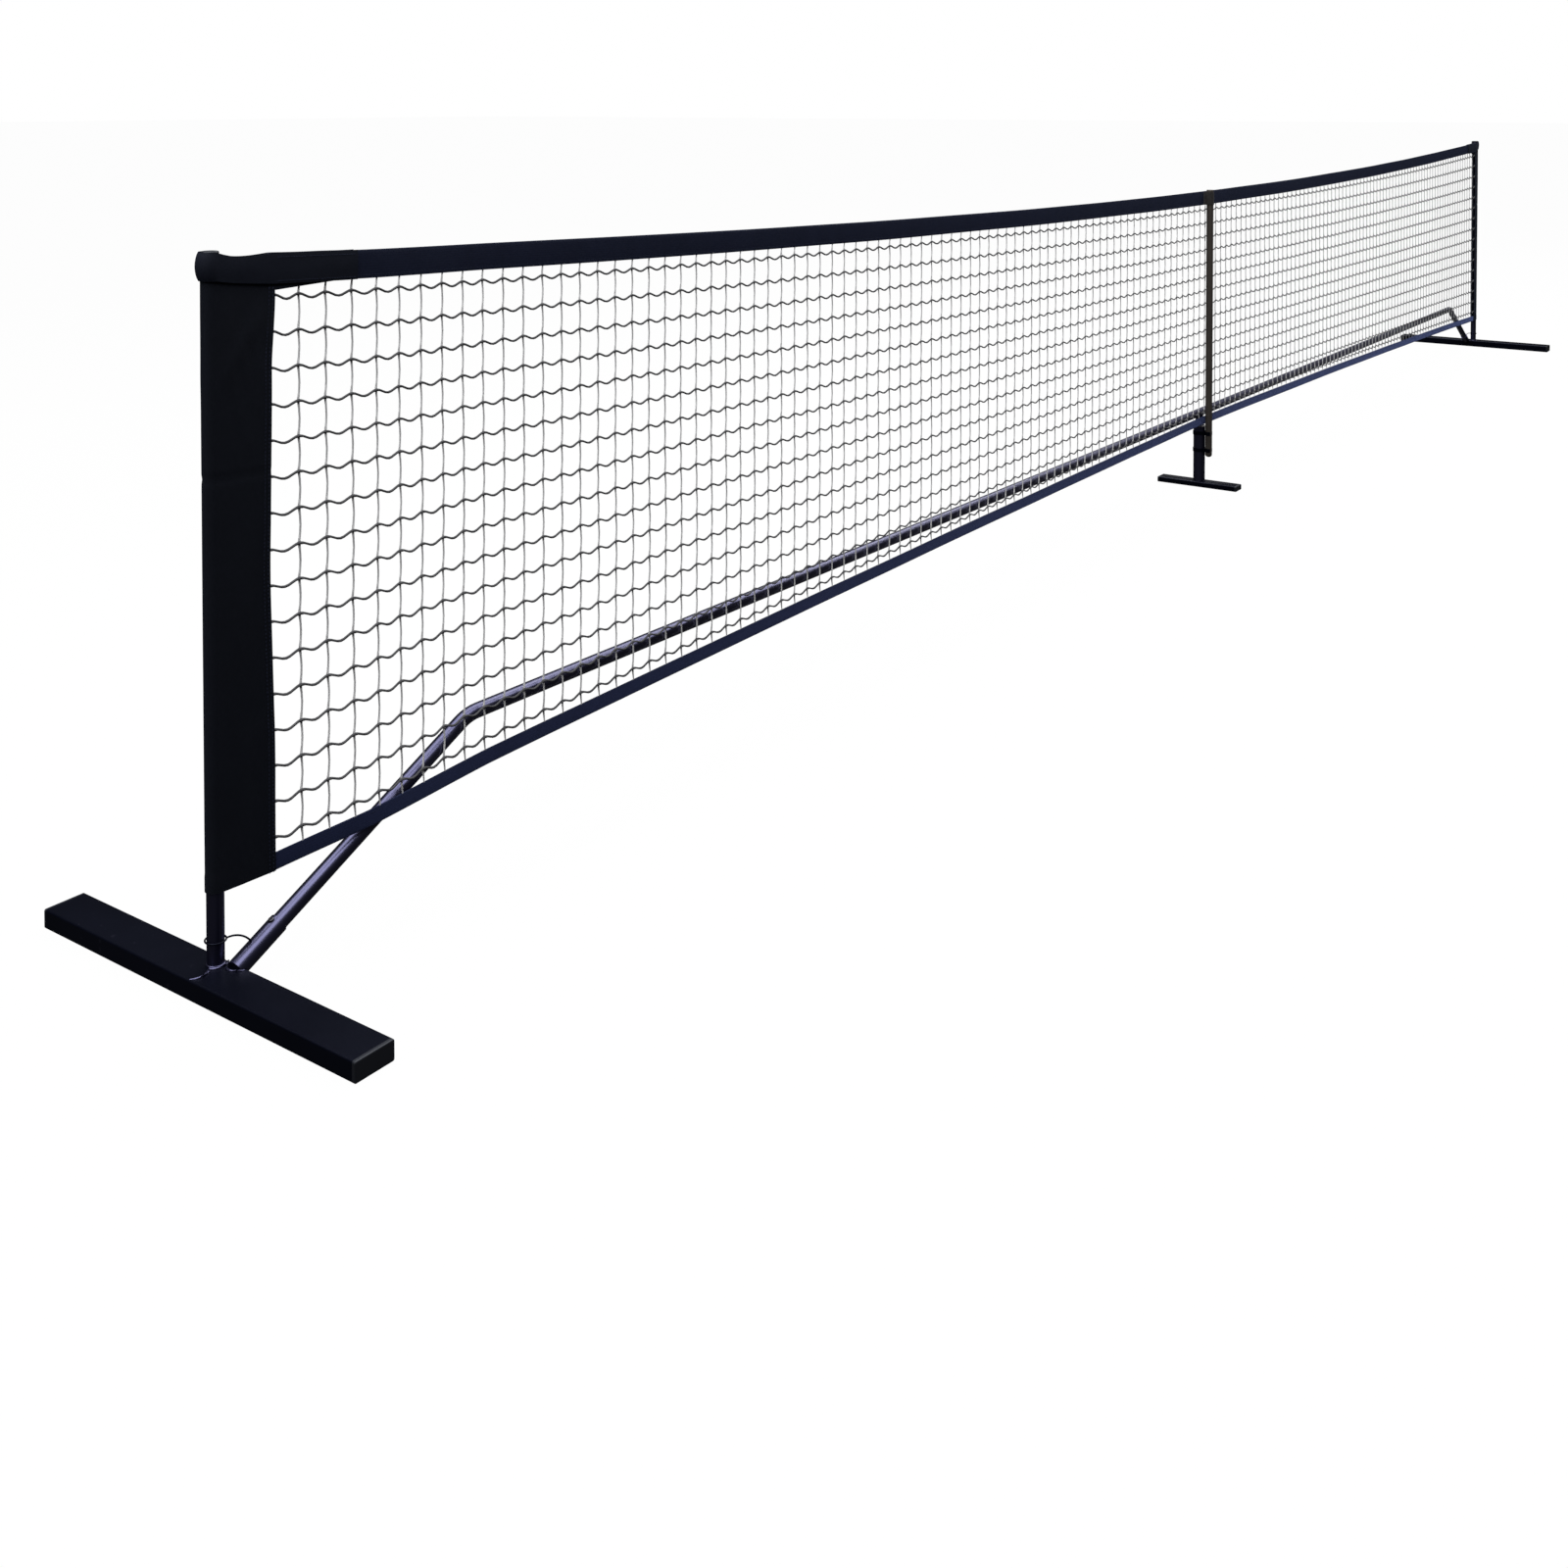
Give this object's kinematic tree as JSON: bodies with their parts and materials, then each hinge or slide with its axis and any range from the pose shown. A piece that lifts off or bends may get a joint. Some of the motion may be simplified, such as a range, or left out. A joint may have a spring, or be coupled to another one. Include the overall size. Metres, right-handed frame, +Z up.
{
  "type": "pickleball portable net",
  "caption": "Free-standing portable court net: square mesh with taped edges and end sleeves on two upright posts, a low tubular frame on cross feet, and a centre rod.",
  "frame": {"origin": "on the floor, midway between the two end posts, under the centre station", "axes": "+X along the net towards the right post, +Y behind the net, +Z up"},
  "size_m": [6.794, 0.61, 0.914],
  "materials": {
    "black_powder_coat": "satin black powder coat on steel tube",
    "rod_coat": "dark brown-grey satin coat",
    "black_plastic": "moulded, fine texture",
    "grey_plastic": "moulded, light grey",
    "button_steel": "zinc plated",
    "spring_steel": "spring steel",
    "navy_webbing": "woven navy tape",
    "net_twine": "dark grey braided twine",
    "sleeve_cloth": "black woven polyester",
    "strap_cloth": "black woven polyester, doubled",
    "grey_webbing": "grey woven strap"
  },
  "bodies": {
    "frame": {"foot_left": "black_powder_coat", "foot_cap_left_front": "black_plastic", "foot_cap_left_back": "black_plastic", "post_spigot_left": "black_powder_coat", "leg_socket_left": "black_powder_coat", "link_wire_left": "black_powder_coat", "bent_tube_left": "black_powder_coat", "outer_tube_left": "black_powder_coat", "inner_tube_left": "black_powder_coat", "snap_spring_leg_left": "spring_steel", "snap_spring_outer_left": "spring_steel", "snap_spring_middle_left": "spring_steel", "snap_spring_inner_left": "spring_steel", "foot_right": "black_powder_coat", "foot_cap_right_front": "black_plastic", "foot_cap_right_back": "black_plastic", "post_spigot_right": "black_powder_coat", "leg_socket_right": "black_powder_coat", "link_wire_right": "black_powder_coat", "bent_tube_right": "black_powder_coat", "outer_tube_right": "black_powder_coat", "inner_tube_right": "black_powder_coat", "snap_spring_leg_right": "spring_steel", "snap_spring_outer_right": "spring_steel", "snap_spring_middle_right": "spring_steel", "snap_spring_inner_right": "spring_steel", "tee": "black_powder_coat"},
    "left_post": {"post_left": "black_powder_coat", "post_cap_left": "black_plastic"},
    "right_post": {"post_right": "black_powder_coat", "post_cap_right": "black_plastic"},
    "centre_base": {"centre_foot": "black_powder_coat", "centre_foot_cap_front": "black_plastic", "centre_foot_cap_back": "black_plastic", "socket_post": "black_powder_coat", "socket_bush": "grey_plastic", "rod_clip_lower": "black_plastic", "rod_clip_upper": "black_plastic"},
    "rod": {"centre_rod": "rod_coat", "rod_foot_cap": "black_plastic", "rod_head_cap": "black_plastic"},
    "net": {"top_tape": "navy_webbing", "bottom_tape": "navy_webbing", "mesh_left": "net_twine", "mesh_right": "net_twine", "sleeve_left": "sleeve_cloth", "sleeve_right": "sleeve_cloth", "corner_strap_left": "strap_cloth", "corner_strap_right": "strap_cloth", "centre_loop": "grey_webbing"},
    "button_leg_left": {"snap_button_leg_left": "button_steel"},
    "button_outer_left": {"snap_button_outer_left": "button_steel"},
    "button_middle_left": {"snap_button_middle_left": "button_steel"},
    "button_inner_left": {"snap_button_inner_left": "button_steel"},
    "button_leg_right": {"snap_button_leg_right": "button_steel"},
    "button_outer_right": {"snap_button_outer_right": "button_steel"},
    "button_middle_right": {"snap_button_middle_right": "button_steel"},
    "button_inner_right": {"snap_button_inner_right": "button_steel"}
  },
  "joints": [
    {"name": "left_post_lift", "type": "slide", "parent": "frame", "child": "left_post", "axis": [0, 0, 1], "range_m": [0, 0.1]},
    {"name": "right_post_lift", "type": "slide", "parent": "frame", "child": "right_post", "axis": [0, 0, 1], "range_m": [0, 0.1]},
    {"name": "net_lift", "type": "slide", "parent": "frame", "child": "net", "axis": [0, 0, 1], "range_m": [0, 0.85]},
    {"name": "centre_base_drop", "type": "slide", "parent": "frame", "child": "centre_base", "axis": [0, 0, -1], "range_m": [0, 0.16]},
    {"name": "rod_lift", "type": "slide", "parent": "centre_base", "child": "rod", "axis": [0, 0, 1], "range_m": [0, 0.09]},
    {"name": "button_leg_left_press", "type": "slide", "parent": "frame", "child": "button_leg_left", "axis": [0.3965, 0.0244, -0.9177], "range_m": [0, 0.00425], "stiffness_N_per_m": 4000},
    {"name": "button_outer_left_press", "type": "slide", "parent": "frame", "child": "button_outer_left", "axis": [0, -1, 0], "range_m": [0, 0.0038], "stiffness_N_per_m": 4000},
    {"name": "button_middle_left_press", "type": "slide", "parent": "frame", "child": "button_middle_left", "axis": [0, -1, 0], "range_m": [0, 0.0038], "stiffness_N_per_m": 4000},
    {"name": "button_inner_left_press", "type": "slide", "parent": "frame", "child": "button_inner_left", "axis": [0, -1, 0], "range_m": [0, 0.0038], "stiffness_N_per_m": 4000},
    {"name": "button_leg_right_press", "type": "slide", "parent": "frame", "child": "button_leg_right", "axis": [-0.3965, -0.0244, -0.9177], "range_m": [0, 0.00425], "stiffness_N_per_m": 4000},
    {"name": "button_outer_right_press", "type": "slide", "parent": "frame", "child": "button_outer_right", "axis": [0, -1, 0], "range_m": [0, 0.0038], "stiffness_N_per_m": 4000},
    {"name": "button_middle_right_press", "type": "slide", "parent": "frame", "child": "button_middle_right", "axis": [0, -1, 0], "range_m": [0, 0.0038], "stiffness_N_per_m": 4000},
    {"name": "button_inner_right_press", "type": "slide", "parent": "frame", "child": "button_inner_right", "axis": [0, -1, 0], "range_m": [0, 0.0038], "stiffness_N_per_m": 4000}
  ]
}
